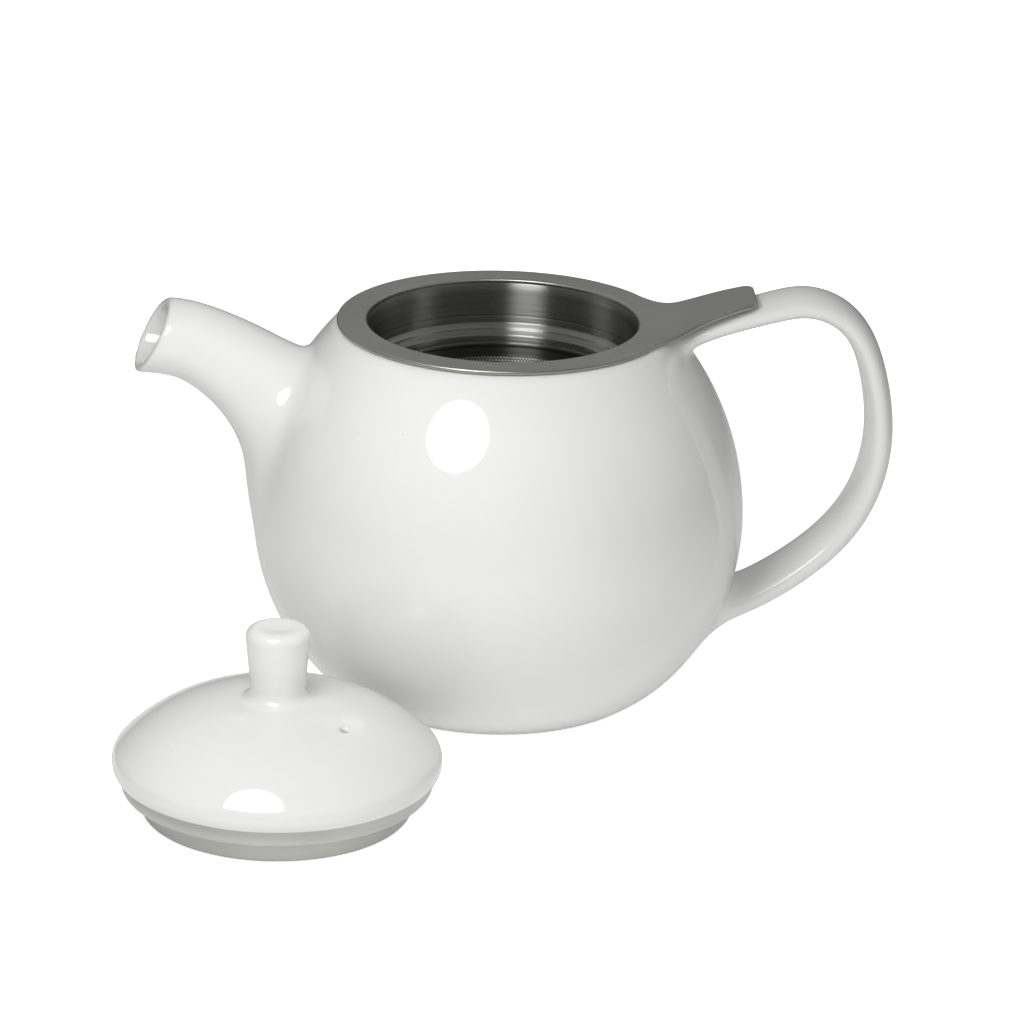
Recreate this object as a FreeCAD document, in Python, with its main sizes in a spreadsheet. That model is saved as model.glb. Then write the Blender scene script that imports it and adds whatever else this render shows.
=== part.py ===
import FreeCAD, Part
import math
import os
import re
import Sketcher
from FreeCAD import Placement, Rotation, Vector

# Teapot with a lift-out steel infuser, its lid lying on the table beside it.
# Origin: centre of the pot's foot on the table. +X runs to the handle, -X to the spout, +Z is up.

SIZES = {
    # pot wall, turned about the vertical axis
    "belly_radius": (62.5, "largest outside radius of the pot"),
    "belly_height": (46.0, "height of that radius above the table"),
    "belly_arc": (56.5, "radius of the outline below the belly"),
    "shoulder_arc": (73.0, "radius of the outline above the belly"),
    "pot_wall": (4.0, "thickness of the fired wall"),
    "rim_height": (96.7, "top of the rim, on which the flange sits"),
    "rim_round": (2.5, "rounding of the rim's outer edge"),
    "rim_drop": (0.9, "height of that rounding"),
    "rim_inset": (1.9, "width of that rounding"),
    "mouth_radius": (36.2, "inside radius of the mouth"),
    "neck_depth": (5.5, "depth of the straight wall inside the mouth"),
    "foot_radius": (38.0, "outside radius of the foot on the table"),
    "foot_height": (2.2, "height at which the belly outline starts"),
    "recess_radius": (33.5, "inside radius of the foot ring"),
    "recess_depth": (1.6, "depth of the recess inside the foot ring"),
    "floor_height": (6.0, "top of the pot's inside floor"),
    "floor_round": (12.0, "rounding between the inside floor and wall"),
    # spout and handle
    "lip_wall": (2.3, "wall at the spout's mouth"),
    "root_wall": (3.6, "wall at the spout's root"),
    "strap_width_top": (16.5, "width of the handle strap under the tab"),
    "strap_width_low": (20.5, "width of the strap at its lower root"),
    "strap_thick_top": (5.4, "thickness of the strap under the tab"),
    "strap_thick_low": (8.0, "thickness of the strap at its lower root"),
    # infuser
    "plate": (1.2, "thickness of the flange plate"),
    "flange_radius": (41.9, "outside radius of the flange"),
    "collar_radius": (35.0, "outside radius of the collar in the flange"),
    "collar_wall": (0.7, "thickness of the collar's sheet"),
    "collar_depth": (12.6, "depth of the collar's straight wall"),
    "shoulder_drop": (2.2, "height of the collar's sloping shoulder"),
    "neck_length": (4.6, "length of the collar's lower neck"),
    "screen_radius": (31.8, "outside radius of the screen"),
    "screen_wall": (0.5, "thickness of the screen's sheet"),
    "screen_top": (82.2, "top of the screen inside the collar's neck"),
    "screen_bottom": (19.0, "bottom of the screen"),
    "bead_height": (1.7, "height of the bead round the screen's top"),
    "base_wall": (0.6, "thickness of the base cup's sheet"),
    "base_rim": (3.5, "height of the base cup's upturned rim"),
    "base_dish": (1.0, "how far the middle of the base is raised"),
    "base_middle": (25.0, "radius of that raised middle"),
    # tab over the handle
    "tab_start": (39.2, "distance from the axis where the tab bends up"),
    "tab_bend": (16.0, "radius of that bend"),
    "tab_rise": (24.0, "steepest slope of the tab in degrees"),
    "tab_crown": (95.0, "radius of the tab's bend back towards level"),
    "tab_end": (63.6, "distance of the tab's end from the axis"),
    "tab_root_x": (35.5, "where the tab's outline leaves the flange, along X"),
    "tab_root": (22.2, "half width of the tab there"),
    "tab_hollow": (23.8, "radius of the hollow between flange and tab"),
    "tab_waist_x": (52.0, "where that hollow ends, along X"),
    "tab_waist": (10.2, "half width of the tab there"),
    "tab_tip": (8.7, "half width of the tab near its end"),
    "tab_corner": (3.2, "rounding of the tab's end corners"),
    # lid
    "lid_x": (-55.9, "lid centre from the pot's axis along X"),
    "lid_y": (-82.1, "lid centre from the pot's axis along Y"),
    "lid_collar": (32.7, "outside radius of the lid's locating collar"),
    "lid_bore": (28.2, "inside radius of the collar"),
    "collar_height": (6.0, "height of the collar below the seat band"),
    "seat_radius": (37.65, "outside radius of the seat band"),
    "seat_top": (10.1, "height of the top of the seat band"),
    "edge_round": (1.1, "rounding of the collar's and the band's lower edges"),
    "brim_radius": (39.8, "largest radius of the lid"),
    "brim_height": (12.9, "height of that radius"),
    "brim_round": (4.4, "radius of the brim's rounding"),
    "brim_under": (32.0, "angle in degrees that the brim turns under"),
    "brim_over": (44.3, "angle in degrees at which the brim meets the dome"),
    "dome_arc": (41.5, "radius of the dome's outline"),
    "lid_wall": (4.2, "thickness of the dome"),
    "vent_radius": (0.75, "radius of the steam vent"),
    "vent_reach": (21.6, "distance of the vent from the lid's axis"),
    "vent_angle": (-42.8, "direction of the vent in degrees from +X"),
    "knob_base": (8.2, "radius of the knob's flared base"),
    "knob_neck": (6.5, "radius of the knob's neck"),
    "knob_flare": (2.6, "height of the flare"),
    "flare_arc": (3.2, "radius of the flare's hollow"),
    "knob_top": (7.8, "radius of the knob below its top edge"),
    "knob_height": (18.2, "height of the knob above the dome"),
    "knob_round": (2.2, "rounding of the knob's top edge"),
    "knob_dish": (0.4, "depth of the dish in the knob's top"),
}

# Spout stations from inside the wall to the mouth: upper point (x, z), lower point (x, z), half width, and
# the angle in degrees by which the section faces towards -Y.
SPOUT_STATIONS = [
    (38.0, 85.0, 54.0, 36.0, 17.5, 0.0),
    (46.5, 88.0, 62.4, 47.5, 16.6, 0.0),
    (53.6, 91.0, 65.0, 60.0, 14.4, 0.0),
    (60.0, 94.3, 68.3, 69.2, 12.6, 0.0),
    (66.6, 97.5, 73.4, 75.9, 11.2, 0.8),
    (73.0, 100.1, 78.9, 80.3, 10.3, 3.0),
    (78.8, 101.8, 84.4, 82.7, 9.9, 6.0),
    (83.8, 102.4, 93.0, 83.7, 10.2, 8.0),
]

# Middle line (x, z) of the handle strap, from under the rim round to its lower root.
HANDLE_LINE = [
    (41.5, 90.6),
    (49.5, 95.6),
    (60.0, 99.4),
    (69.0, 101.9),
    (77.0, 103.0),
    (85.2, 100.2),
    (91.2, 93.4),
    (94.8, 83.0),
    (96.5, 70.5),
    (95.1, 58.0),
    (90.0, 46.2),
    (81.0, 36.0),
    (69.0, 27.4),
    (58.5, 22.4),
    (49.0, 19.0),
]

# Lengths that follow from the sizes above.
BELLY_X = "(belly_radius - belly_arc)"
SHOULDER_X = "(belly_radius - shoulder_arc)"
FLOOR_LONG = "(belly_arc - pot_wall - floor_round)"
FLOOR_RISE = "(belly_height - floor_height - floor_round)"
FLOOR_RUN = f"sqrt({FLOOR_LONG}^2 - {FLOOR_RISE}^2)"
FLOOR_SCALE = f"((belly_arc - pot_wall) / {FLOOR_LONG})"
FLANGE_TOP = "(rim_height + plate)"
SHOULDER_Z = f"({FLANGE_TOP} - collar_depth)"
NECK_Z = f"({SHOULDER_Z} - shoulder_drop)"
BASE_Z = "(screen_bottom - base_wall)"
BEND_X = "(tab_start + tab_bend * sin(tab_rise))"
BEND_Z = f"({FLANGE_TOP} + tab_bend * (1 - cos(tab_rise)))"
CROWN_X = f"({BEND_X} + tab_crown * sin(tab_rise))"
CROWN_Z = f"({BEND_Z} - tab_crown * cos(tab_rise))"
BRIM_X = "(brim_radius - brim_round)"
DOME_X = f"({BRIM_X} - (dome_arc - brim_round) * cos(brim_over))"
DOME_Z = f"(brim_height - (dome_arc - brim_round) * sin(brim_over))"
DOME_TOP = f"({DOME_Z} + sqrt(dome_arc^2 - (knob_base - {DOME_X})^2))"

RIGHT = 1
LEFT = -1

doc = FreeCAD.newDocument("TeapotInfuser")
sheet = doc.addObject("Spreadsheet::Sheet", "sizes")


def fill_sheet():
    """One row per size: its meaning, its plain value and its alias."""
    for row, (alias, (value, meaning)) in enumerate(SIZES.items(), 1):
        sheet.set(f"A{row}", meaning)
        sheet.set(f"B{row}", str(value))
        sheet.setAlias(f"B{row}", alias)
    doc.recompute()


def bound(expression):
    """The expression with every alias written as sizes.alias. Angles are plain numbers of degrees."""
    text = re.sub(r"\b(sin|cos)\((\w+)\)", r"\1(\2 * 1deg)", expression)
    return re.sub(r"[a-z]\w+", lambda m: f"sizes.{m[0]}" if m[0] in SIZES else m[0], text)


def value(expression):
    """The expression's value now."""
    return float(sheet.evalExpression(bound(expression)))


def drive(thing, name, expression):
    """Bind one property or constraint to the sheet."""
    thing.setExpression(name, bound(expression))


def new_sketch(body, plane):
    """An empty sketch on one of the body's own origin planes."""
    sketch = body.newObject("Sketcher::SketchObject", f"{body.Name}_sketch")
    sketch.AttachmentSupport = [(p, "") for p in body.Origin.OriginFeatures if p.Role == plane]
    sketch.MapMode = "FlatFace"
    return sketch


def arc_between(start, end, radius, side):
    """The shorter arc from start to end, bulging to the RIGHT or LEFT of the way travelled."""
    chord = end - start
    left = Vector(-chord.y, chord.x, 0).normalize()
    reach = math.sqrt(max(radius**2 - chord.Length**2 / 4, 0))
    centre = (start + end) / 2 + left * side * reach
    return Part.Arc(start, centre - left * side * radius, end)


def constrain(sketch, kind, *places):
    """Add a geometric constraint."""
    sketch.addConstraint(Sketcher.Constraint(kind, *places))


def constrain_size(sketch, expression, kind, *places):
    """Add a dimension and bind it to the sheet."""
    index = sketch.addConstraint(Sketcher.Constraint(kind, *places, value(expression)))
    drive(sketch, f"Constraints[{index}]", expression)


def pin_vertex(sketch, geo, end, x, y):
    """Hold a vertex at the expressions x and y; a zero puts it on the axis."""
    for axis, kind, expression in ((-2, "DistanceX", x), (-1, "DistanceY", y)):
        if expression == "0":
            constrain(sketch, "PointOnObject", geo, end, axis)
        else:
            constrain_size(sketch, expression, kind, -1, 1, geo, end)


def outline(sketch, steps):
    """A closed outline. Each step (x, y) or (x, y, radius, side) is the line or arc that leads there."""
    points = [Vector(value(step[0]), value(step[1]), 0) for step in steps]
    ends = []
    for i, step in enumerate(steps):
        start, end = points[i - 1], points[i]
        if len(step) == 2:
            geo = sketch.addGeometry(Part.LineSegment(start, end))
        else:
            geo = sketch.addGeometry(arc_between(start, end, value(step[2]), step[3]))
        first = 1 if sketch.getPoint(geo, 1).distanceToPoint(start) < 1e-6 else 2
        ends.append((geo, first, 3 - first))
    for i, (geo, first, last) in enumerate(ends):
        before = ends[i - 1]
        constrain(sketch, "Coincident", before[0], before[2], geo, first)
    for step, (geo, first, last) in zip(steps, ends):
        pin_vertex(sketch, geo, last, step[0], step[1])
        if len(step) == 4:
            constrain_size(sketch, step[2], "Radius", geo)


def new_body(name):
    """An empty body with this name and label."""
    body = doc.addObject("PartDesign::Body", name)
    body.Label = name
    return body


def turned(name, steps):
    """A body turned about the vertical axis from an outline in the XZ plane."""
    body = new_body(name)
    sketch = new_sketch(body, "XZ_Plane")
    outline(sketch, steps)
    turn = body.newObject("PartDesign::Revolution", f"{name}_turn")
    turn.Profile = sketch
    turn.ReferenceAxis = (sketch, ["V_Axis"])
    turn.Angle = 360
    sketch.Visibility = False
    doc.recompute()
    return body


def padded(name, plane, steps, depth):
    """A body padded both ways from an outline in one of its origin planes."""
    body = new_body(name)
    sketch = new_sketch(body, plane)
    outline(sketch, steps)
    pad = body.newObject("PartDesign::Pad", f"{name}_pad")
    pad.Profile = sketch
    pad.Midplane = True
    drive(pad, "Length", depth)
    sketch.Visibility = False
    doc.recompute()
    return body


def combined(kind, name, base, tool):
    """Part::Cut, Part::Common or Part::Fuse of two objects."""
    result = doc.addObject(kind, name)
    result.Label = name
    result.Base = base
    result.Tool = tool
    if hasattr(result, "Refine"):
        result.Refine = True
    return result


def lofted(name, sections):
    """A smooth solid through the sections."""
    loft = doc.addObject("Part::Loft", name)
    loft.Sections = sections
    loft.Solid = True
    loft.Ruled = False
    return loft


def pot_form():
    """The pot's outside as one solid."""
    foot_edge = f"{BELLY_X} + sqrt(belly_arc^2 - (belly_height - foot_height)^2)"
    rim_edge = f"{SHOULDER_X} + sqrt(shoulder_arc^2 - (rim_height - rim_drop - belly_height)^2)"
    return turned("pot_form", [
        ("0", "recess_depth"),
        ("recess_radius - recess_depth", "recess_depth"),
        ("recess_radius", "0"),
        ("foot_radius", "0"),
        (foot_edge, "foot_height"),
        ("belly_radius", "belly_height", "belly_arc", RIGHT),
        (rim_edge, "rim_height - rim_drop", "shoulder_arc", RIGHT),
        (f"{rim_edge} - rim_inset", "rim_height", "rim_round", RIGHT),
        ("0", "rim_height"),
    ])


def pot_cavity():
    """The space inside the pot, open at the mouth."""
    neck_foot = "rim_height - neck_depth"
    under_neck = f"{SHOULDER_X} + sqrt((shoulder_arc - pot_wall)^2 - ({neck_foot} - belly_height)^2)"
    return turned("pot_cavity", [
        ("0", "floor_height"),
        (f"{BELLY_X} + {FLOOR_RUN}", "floor_height"),
        (
            f"{BELLY_X} + {FLOOR_RUN} * {FLOOR_SCALE}",
            f"belly_height - {FLOOR_RISE} * {FLOOR_SCALE}",
            "floor_round",
            RIGHT,
        ),
        ("belly_radius - pot_wall", "belly_height", "belly_arc - pot_wall", RIGHT),
        (under_neck, neck_foot, "shoulder_arc - pot_wall", RIGHT),
        ("mouth_radius", neck_foot),
        ("mouth_radius", "rim_height + pot_wall"),
        ("0", "rim_height + pot_wall"),
    ])


def spout_section(name, station, wall):
    """One ellipse across the spout, drawn in by the wall's thickness."""
    upper_x, upper_z, lower_x, lower_z, half_width, turn = station
    tall = math.hypot(upper_x - lower_x, upper_z - lower_z) / 2
    ring = doc.addObject("Part::Ellipse", name)
    middle = Vector(-(upper_x + lower_x) / 2, 0, (upper_z + lower_z) / 2)
    lean = math.degrees(math.atan2(lower_z - upper_z, lower_x - upper_x))
    facing = Rotation(Vector(0, 0, 1), turn) * Rotation(Vector(0, 1, 0), lean)
    ring.Placement = Placement(middle, facing)
    drive(ring, "MajorRadius", f"{tall} - {wall}")
    drive(ring, "MinorRadius", f"{half_width} - {wall}")
    return ring


def beyond(station, last):
    """The mouth's station carried on past the lip, so that the bore cuts right through."""
    return tuple(2 * end - before for end, before in zip(last, station))


def spout_solid(name, stations, walls):
    """The loft through the stations, each drawn in by its own wall."""
    rings = [spout_section(f"{name}_{i}", s, w) for i, (s, w) in enumerate(zip(stations, walls))]
    return lofted(name, rings)


def make_spout_forms():
    """The spout's outside and the bore through it."""
    outside = spout_solid("spout_form", SPOUT_STATIONS, ["0"] * len(SPOUT_STATIONS))
    bored = SPOUT_STATIONS + [beyond(SPOUT_STATIONS[-2], SPOUT_STATIONS[-1])]
    last = len(SPOUT_STATIONS) - 1
    walls = [f"(root_wall + (lip_wall - root_wall) * {min(i / last, 1.0)})" for i in range(len(bored))]
    return outside, spout_solid("spout_bore", bored, walls)


def strap_section(i, spot, along):
    """One ellipse across the handle strap, wide along Y."""
    k = i / (len(HANDLE_LINE) - 1)
    ring = doc.addObject("Part::Ellipse", f"strap_{i}")
    ring.Placement = Placement(spot, Rotation(Vector(0, 1, 0), Vector(), along, "ZXY"))
    drive(ring, "MajorRadius", f"(strap_width_top + (strap_width_low - strap_width_top) * {k}) / 2")
    drive(ring, "MinorRadius", f"(strap_thick_top + (strap_thick_low - strap_thick_top) * {k}) / 2")
    return ring


def handle_form():
    """The whole strap, running into the pot at both ends."""
    points = [Vector(x, 0, z) for x, z in HANDLE_LINE]
    line = Part.BSplineCurve()
    line.interpolate(points)
    rings = []
    for i, point in enumerate(points):
        rings.append(strap_section(i, point, line.tangent(line.parameter(point))[0]))
    return lofted("handle_form", rings)


def make_pot():
    """Pot body, spout and handle, meeting face to face on the pot's outside."""
    form = pot_form()
    outside, bore = make_spout_forms()
    shell = combined("Part::Cut", "pot_shell", form, pot_cavity())
    pot = combined("Part::Cut", "pot_body", shell, bore)
    tube = combined("Part::Cut", "spout_tube", outside, bore)
    spout = combined("Part::Cut", "spout", tube, form)
    handle = combined("Part::Cut", "handle", handle_form(), form)
    return [pot, spout, handle]


def flange_ring():
    """The flat plate that rests on the pot's rim."""
    return turned("flange_ring", [
        ("collar_radius", "rim_height"),
        ("flange_radius - plate / 2", "rim_height"),
        ("flange_radius - plate / 2", FLANGE_TOP, "plate / 2 + 0.0001", RIGHT),
        ("collar_radius", FLANGE_TOP),
    ])


def tab_plate():
    """The tab: a bent strip trimmed to the tab's outline as seen from above."""
    end_high = f"{CROWN_Z} + sqrt(tab_crown^2 - (tab_end - {CROWN_X})^2)"
    end_low = f"{CROWN_Z} + sqrt((tab_crown - plate)^2 - (tab_end - {CROWN_X})^2)"
    strip = padded("tab_strip", "XZ_Plane", [
        ("tab_root_x", "rim_height"),
        ("tab_start", "rim_height"),
        (f"{BEND_X} + plate * sin(tab_rise)", f"{BEND_Z} - plate * cos(tab_rise)", "tab_bend + plate", RIGHT),
        ("tab_end", end_low, "tab_crown - plate", LEFT),
        ("tab_end", end_high),
        (BEND_X, BEND_Z, "tab_crown", RIGHT),
        ("tab_start", FLANGE_TOP, "tab_bend", LEFT),
        ("tab_root_x", FLANGE_TOP),
    ], "tab_root * 3")
    trim = padded("tab_outline", "XY_Plane", [
        ("tab_root_x", "-tab_root"),
        ("tab_waist_x", "-tab_waist", "tab_hollow", LEFT),
        ("tab_end - tab_corner", "-tab_tip"),
        ("tab_end", "-tab_tip + tab_corner", "tab_corner", RIGHT),
        ("tab_end", "tab_tip - tab_corner"),
        ("tab_end - tab_corner", "tab_tip", "tab_corner", RIGHT),
        ("tab_waist_x", "tab_waist"),
        ("tab_root_x", "tab_root", "tab_hollow", LEFT),
    ], "rim_height * 3")
    return combined("Part::Common", "tab_plate", strip, trim)


def make_infuser():
    """Flange with tab, collar, screen and base cup, one inside the next."""
    flange = combined("Part::Fuse", "infuser_flange", flange_ring(), tab_plate())
    collar = turned("infuser_collar", [
        ("collar_radius", FLANGE_TOP),
        ("collar_radius - collar_wall", FLANGE_TOP),
        ("collar_radius - collar_wall", f"{SHOULDER_Z} + collar_wall / 3"),
        ("screen_radius", f"{NECK_Z} + collar_wall / 3"),
        ("screen_radius", f"{NECK_Z} - neck_length"),
        ("screen_radius + collar_wall", f"{NECK_Z} - neck_length"),
        ("screen_radius + collar_wall", NECK_Z),
        ("collar_radius", SHOULDER_Z),
    ])
    screen = turned("infuser_screen", [
        ("screen_radius", "screen_bottom"),
        ("screen_radius", "screen_top"),
        ("screen_radius - screen_wall", "screen_top"),
        ("screen_radius - screen_wall", "screen_top - bead_height", "bead_height / 2 + 0.0001", RIGHT),
        ("screen_radius - screen_wall", "screen_bottom"),
    ])
    base = turned("infuser_base", [
        ("0", f"{BASE_Z} + base_dish"),
        ("base_middle", f"{BASE_Z} + base_dish"),
        ("base_middle + 2 * base_dish", BASE_Z),
        ("screen_radius + base_wall", BASE_Z),
        ("screen_radius + base_wall", f"{BASE_Z} + base_rim"),
        ("screen_radius", f"{BASE_Z} + base_rim"),
        ("screen_radius", "screen_bottom"),
        ("base_middle + 2 * base_dish", "screen_bottom"),
        ("base_middle", "screen_bottom + base_dish"),
        ("0", "screen_bottom + base_dish"),
    ])
    return [flange, collar, screen, base]


def add_vent(cap):
    """The steam vent, drilled straight up through the dome."""
    sketch = new_sketch(cap, "XY_Plane")
    across = "vent_reach * cos(vent_angle)"
    along = "vent_reach * sin(vent_angle)"
    centre = Vector(value(across), value(along), 0)
    geo = sketch.addGeometry(Part.Circle(centre, Vector(0, 0, 1), value("vent_radius")))
    constrain_size(sketch, across, "DistanceX", -1, 1, geo, 3)
    constrain_size(sketch, along, "DistanceY", -1, 1, geo, 3)
    constrain_size(sketch, "vent_radius", "Radius", geo)
    before = cap.Shape.Volume
    pocket = cap.newObject("PartDesign::Pocket", "vent")
    pocket.Profile = sketch
    pocket.Type = "ThroughAll"
    pocket.Reversed = True
    sketch.Visibility = False
    doc.recompute()
    assert cap.Shape.Volume < before, "the vent cut nothing"


def stand_lid(piece, height):
    """Put a piece of the lid on the table beside the pot."""
    drive(piece, "Placement.Base.x", "lid_x")
    drive(piece, "Placement.Base.y", "lid_y")
    drive(piece, "Placement.Base.z", height)


def make_lid():
    """Lid cap standing on its collar, and the knob on the middle of its dome."""
    inner_arc = "(dome_arc - lid_wall)"
    cap = turned("lid_cap", [
        ("lid_bore", "0"),
        ("lid_collar - edge_round", "0"),
        ("lid_collar", "edge_round", "edge_round", RIGHT),
        ("lid_collar", "collar_height"),
        ("seat_radius - edge_round", "collar_height"),
        ("seat_radius", "collar_height + edge_round", "edge_round", RIGHT),
        ("seat_radius", "seat_top"),
        (f"{BRIM_X} + brim_round * cos(brim_under)", "brim_height - brim_round * sin(brim_under)"),
        (
            f"{BRIM_X} + brim_round * cos(brim_over)",
            "brim_height + brim_round * sin(brim_over)",
            "brim_round",
            RIGHT,
        ),
        ("knob_base", DOME_TOP, "dome_arc", RIGHT),
        ("0", DOME_TOP),
        ("0", f"{DOME_TOP} - lid_wall"),
        ("knob_base", f"{DOME_TOP} - lid_wall"),
        ("lid_bore", f"{DOME_Z} + sqrt({inner_arc}^2 - (lid_bore - {DOME_X})^2)", inner_arc, LEFT),
    ])
    add_vent(cap)
    dish_arc = "((knob_top - knob_round)^2 + knob_dish^2) / (2 * knob_dish)"
    knob = turned("lid_knob", [
        ("0", "0"),
        ("knob_base", "0"),
        ("knob_neck", "knob_flare", "flare_arc", LEFT),
        ("knob_top", "knob_height - knob_round"),
        ("knob_top - knob_round", "knob_height", "knob_round", RIGHT),
        ("0", "knob_height - knob_dish", dish_arc, LEFT),
    ])
    stand_lid(cap, "0")
    stand_lid(knob, DOME_TOP)
    return [cap, knob]


def write_parts(pieces):
    """Check every object, then write each piece to its own STEP file."""
    doc.recompute()
    for thing in doc.Objects:
        assert not {"Invalid", "Error"} & set(thing.State), f"{thing.Name}: {thing.State}"
    os.makedirs("parts", exist_ok=True)
    for piece in pieces:
        shape = piece.Shape
        assert not shape.isNull() and shape.isValid(), f"{piece.Label} isn't a sound shape"
        assert len(shape.Solids) == 1, f"{piece.Label} has {len(shape.Solids)} solids"
        shape.exportStep(f"parts/{piece.Label}.step")
        print(f"{piece.Label}: {shape.Volume / 1000:.1f} cm3")


fill_sheet()
write_parts(make_pot() + make_infuser() + make_lid())
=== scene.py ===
import math

import bpy
import numpy as np
from mathutils import Matrix, Vector


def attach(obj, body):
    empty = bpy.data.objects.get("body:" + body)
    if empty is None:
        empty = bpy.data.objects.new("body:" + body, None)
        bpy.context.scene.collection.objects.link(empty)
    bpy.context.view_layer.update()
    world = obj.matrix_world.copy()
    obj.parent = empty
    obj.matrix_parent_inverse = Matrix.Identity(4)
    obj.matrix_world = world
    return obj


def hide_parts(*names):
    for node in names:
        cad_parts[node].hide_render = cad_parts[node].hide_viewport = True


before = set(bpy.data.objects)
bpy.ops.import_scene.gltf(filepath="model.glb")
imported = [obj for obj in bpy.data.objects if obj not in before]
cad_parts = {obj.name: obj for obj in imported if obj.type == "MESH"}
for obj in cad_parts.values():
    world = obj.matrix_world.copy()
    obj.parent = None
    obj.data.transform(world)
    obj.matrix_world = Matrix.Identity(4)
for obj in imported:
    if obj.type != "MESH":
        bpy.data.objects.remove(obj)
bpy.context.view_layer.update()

# Sizes in this script are in millimetres, as in the CAD. Meshes are made in metres.
MM = 0.001

# Pot body, turned about the vertical axis. Each arc of the belly is (radius of its centre, its own radius).
BELLY_Z = 46.0
LOW_ARC = (6.0, 56.5)
HIGH_ARC = (-10.5, 73.0)
WALL = 4.0
RIM_Z = 96.7
RIM_ROUND = 2.4
MOUTH_R = 36.2
SHOULDER_Z = 91.2
SHOULDER_ROUND = 3.0
NECK_FROM = 60.0
NECK_ROUND = 2.0
FLOOR_Z = 6.0
FLOOR_ROUND = 14.0
FOOT_R = 38.0
FOOT_SLOPE = (0.512, -0.859)
FOOT_ROUND = 2.2
RECESS_R = 33.5
RECESS_Z = 1.6
RECESS_ROUND = 1.2
EDGE_ROUND = 1.0
SEAT_R = 43.0
SEAT_ROUND = 0.6

# Spout stations from inside the wall to the mouth: upper (x, z), lower (x, z), half width. The bore runs
# past the mouth by SPOUT_OVERRUN of a station.
SPOUT = np.array([
    (38.0, 85.0, 54.0, 36.0, 17.5),
    (46.5, 88.0, 62.4, 47.5, 16.6),
    (53.6, 91.0, 65.0, 60.0, 14.4),
    (60.0, 94.3, 68.3, 69.2, 12.6),
    (66.6, 97.5, 73.4, 75.9, 11.2),
    (73.0, 100.1, 78.9, 80.3, 10.3),
    (78.8, 101.8, 84.4, 82.7, 9.9),
    (83.8, 102.4, 93.0, 83.7, 10.2),
])
SPOUT_END = len(SPOUT) - 1
SPOUT_OVERRUN = 0.6
ROOT_WALL = 3.6
LIP_WALL = 2.3
MOUTH_ROUND = 1.7
MOUTH_TURN = math.tan(math.radians(8.0))
TURN_FROM, TURN_TO = 68.0, 86.0
STEPS_PER_STATION = 20

# Middle line (x, z) of the handle strap, with its width and thickness at both ends. The strap's section is
# an oval of this power, a little squarer than an ellipse.
HANDLE = np.array([
    (41.5, 90.6), (49.5, 95.6), (60.0, 99.4), (69.0, 101.9), (77.0, 103.0),
    (85.2, 100.2), (91.2, 93.4), (94.8, 83.0), (96.5, 70.5), (95.1, 58.0),
    (90.0, 46.2), (81.0, 36.0), (69.0, 27.4), (58.5, 22.4), (49.0, 19.0),
])
STRAP_WIDTH = (16.5, 20.5)
STRAP_THICK = (5.4, 8.0)
STRAP_SQUARE = 2.35
HANDLE_END = len(HANDLE) - 1

# Fillets between the body and what is joined to it: heights, and the fillet's width at each.
SPOUT_FILLET = ((78.0, 94.0), (7.0, 3.0))
HANDLE_FILLET = ((18.0, 31.0), (9.0, 5.0))
BORE_FILLET = 3.0
HOLLOW_ROUND = 1.5

# Boxes that hold the spout and the handle: distance from the axis, half depth and lowest height.
SPOUT_FROM, SPOUT_DEEP, SPOUT_LOW = 34.0, 32.0, 22.0
HANDLE_FROM, HANDLE_DEEP = 36.0, 26.0

# Grid that the pot's surface is drawn from: where each axis starts, then runs of (end, spacing).
GRID_X = (-94.0, (-76.0, 0.85), (-40.0, 1.15), (38.0, 1.6), (64.0, 1.05), (101.5, 1.0))
GRID_Y = (-65.0, (-13.0, 1.65), (13.0, 0.95), (65.0, 1.65))
GRID_Z = (-1.0, (4.0, 0.62), (80.0, 1.45), (90.0, 1.0), (98.5, 0.8), (107.5, 0.95))

# A distance that no part of the object reaches.
FAR = 1000.0


# ---------------------------------------------------------------- smooth distance fields

def smooth_min(a, b, k):
    """The lower of a and b, with the valley between them filled over a width of k."""
    h = np.maximum(k - np.abs(a - b), 0.0) / k
    return np.minimum(a, b) - h**3 * k / 6.0


def smooth_max(a, b, k):
    """The higher of a and b, with the ridge between them rounded over a width of k."""
    return -smooth_min(-a, -b, k)


def spline(values):
    """Natural cubic spline through the rows at 0, 1, 2 and so on, as a function of the parameter."""
    n = len(values)
    matrix = np.eye(n)
    right = np.zeros_like(values)
    for i in range(1, n - 1):
        matrix[i, i - 1:i + 2] = (1.0, 4.0, 1.0)
        right[i] = 6.0 * (values[i - 1] - 2.0 * values[i] + values[i + 1])
    bend = np.linalg.solve(matrix, right)

    def at(t):
        i = np.clip(np.floor(t).astype(int), 0, n - 2)
        b = (t - i)[:, None]
        a = 1.0 - b
        curve = ((a**3 - a) * bend[i] + (b**3 - b) * bend[i + 1]) / 6.0
        return a * values[i] + b * values[i + 1] + curve

    return at


spout_at = spline(SPOUT)
handle_at = spline(HANDLE)


def in_blocks(function, points, size=40000):
    """The function over the points, a block at a time."""
    return np.concatenate([function(points[i:i + size]) for i in range(0, len(points), size)])


def belly(r, z, inset):
    """Distance outside the belly's outline drawn in by inset: one arc below the widest height, one above."""
    low = np.hypot(r - LOW_ARC[0], z - BELLY_Z) - (LOW_ARC[1] - inset)
    high = np.hypot(r - HIGH_ARC[0], z - BELLY_Z) - (HIGH_ARC[1] - inset)
    return np.where(z < BELLY_Z, low, high)


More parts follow.
